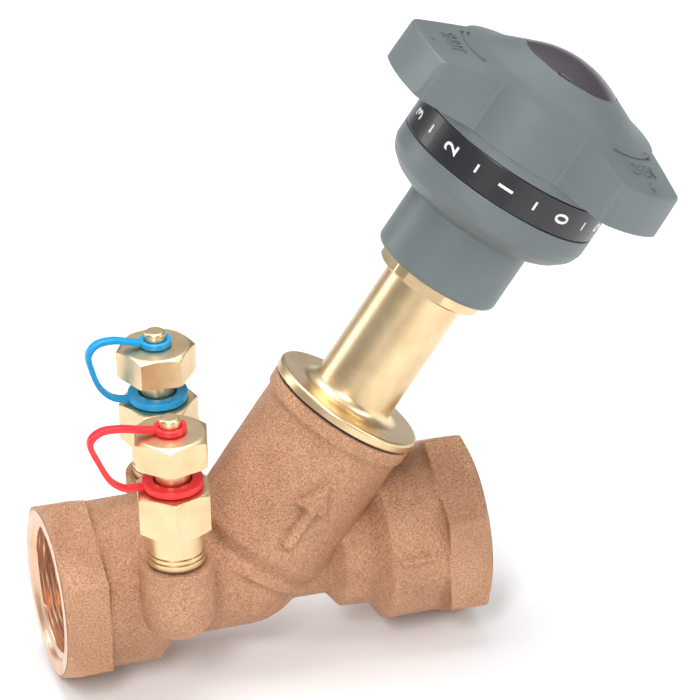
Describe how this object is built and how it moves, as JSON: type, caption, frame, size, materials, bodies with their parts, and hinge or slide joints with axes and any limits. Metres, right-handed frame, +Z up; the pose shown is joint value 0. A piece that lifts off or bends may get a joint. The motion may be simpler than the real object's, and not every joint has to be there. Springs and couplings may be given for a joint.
{
  "type": "globe valve",
  "caption": "Oblique globe valve with threaded ends, a lobed handwheel with a turning scale, and pressure test points with capped necks.",
  "frame": {"origin": "centre of the inlet mouth, on the centre line of the pipe run", "axes": "+X along the pipe run from inlet to outlet, +Z up, stem leaning 54 degrees from +X in the XZ plane"},
  "size_m": [0.1532, 0.0764, 0.1579],
  "materials": {
    "cast_bronze": "cast, with machined ends",
    "brass": "turned and milled",
    "grey_plastic": "moulded, fine texture",
    "black_plastic": "satin",
    "cap_plastic": "satin",
    "red_plastic": "moulded gloss",
    "blue_plastic": "moulded gloss",
    "rubber": "matt",
    "steel": "plain"
  },
  "bodies": {
    "valve": {"valve_body": "cast_bronze", "bonnet_gasket": "rubber", "bonnet": "brass", "gland_nut": "brass", "thrust_washer": "steel", "stem_bush": "brass", "scale_housing": "grey_plastic", "red_test_body": "brass", "red_test_core": "rubber", "red_test_seal": "rubber", "blue_test_body": "brass", "blue_test_core": "rubber", "blue_test_seal": "rubber"},
    "wheel": {"handwheel": "grey_plastic", "scale_ring": "black_plastic", "wheel_insert": "brass", "wheel_washer": "steel", "wheel_nut": "steel", "spindle": "brass", "stem_o_rings": "rubber", "limit_screw": "steel"},
    "plug": {"plug_carrier": "brass", "plug_disc": "brass", "seat_seal": "rubber", "seal_retainer": "brass", "retainer_screw": "steel"},
    "wheel_cover": {"wheel_cap": "cap_plastic"},
    "red_strap_body": {"red_strap": "red_plastic"},
    "red_cap_body": {"red_cap": "brass", "red_cap_seal": "rubber"},
    "blue_strap_body": {"blue_strap": "blue_plastic"},
    "blue_cap_body": {"blue_cap": "brass", "blue_cap_seal": "rubber"}
  },
  "joints": [
    {"name": "wheel_turn", "type": "hinge", "parent": "valve", "child": "wheel", "pos_m": [0.0487, 0, 0], "axis": [0.5878, 0, 0.809], "range_deg": [0, 1440]},
    {"name": "plug_lift", "type": "slide", "parent": "valve", "child": "plug", "axis": [0.5878, 0, 0.809], "range_m": [0, 0.01001]},
    {"name": "wheel_cap_off", "type": "slide", "parent": "wheel", "child": "wheel_cover", "axis": [0.5878, 0, 0.809], "range_m": [0, 0.025]},
    {"name": "red_strap_rise", "type": "slide", "parent": "valve", "child": "red_strap_body", "axis": [0, 0, 1], "range_m": [0, 0.00601]},
    {"name": "red_cap_turn", "type": "hinge", "parent": "red_strap_body", "child": "red_cap_body", "pos_m": [0.0277, -0.0209, 0.0476], "axis": [0, 0, 1], "range_deg": [0, 1440]},
    {"name": "blue_strap_rise", "type": "slide", "parent": "valve", "child": "blue_strap_body", "axis": [0, 0, 1], "range_m": [0, 0.00601]},
    {"name": "blue_cap_turn", "type": "hinge", "parent": "blue_strap_body", "child": "blue_cap_body", "pos_m": [0.035, 0.0209, 0.0476], "axis": [0, 0, 1], "range_deg": [0, 1440]}
  ],
  "couplings": [
    {"joint": "plug_lift", "follows": "wheel_turn", "m_per_rad": 0.00039789},
    {"joint": "red_strap_rise", "follows": "red_cap_turn", "m_per_rad": 0.00023873},
    {"joint": "blue_strap_rise", "follows": "blue_cap_turn", "m_per_rad": 0.00023873}
  ]
}
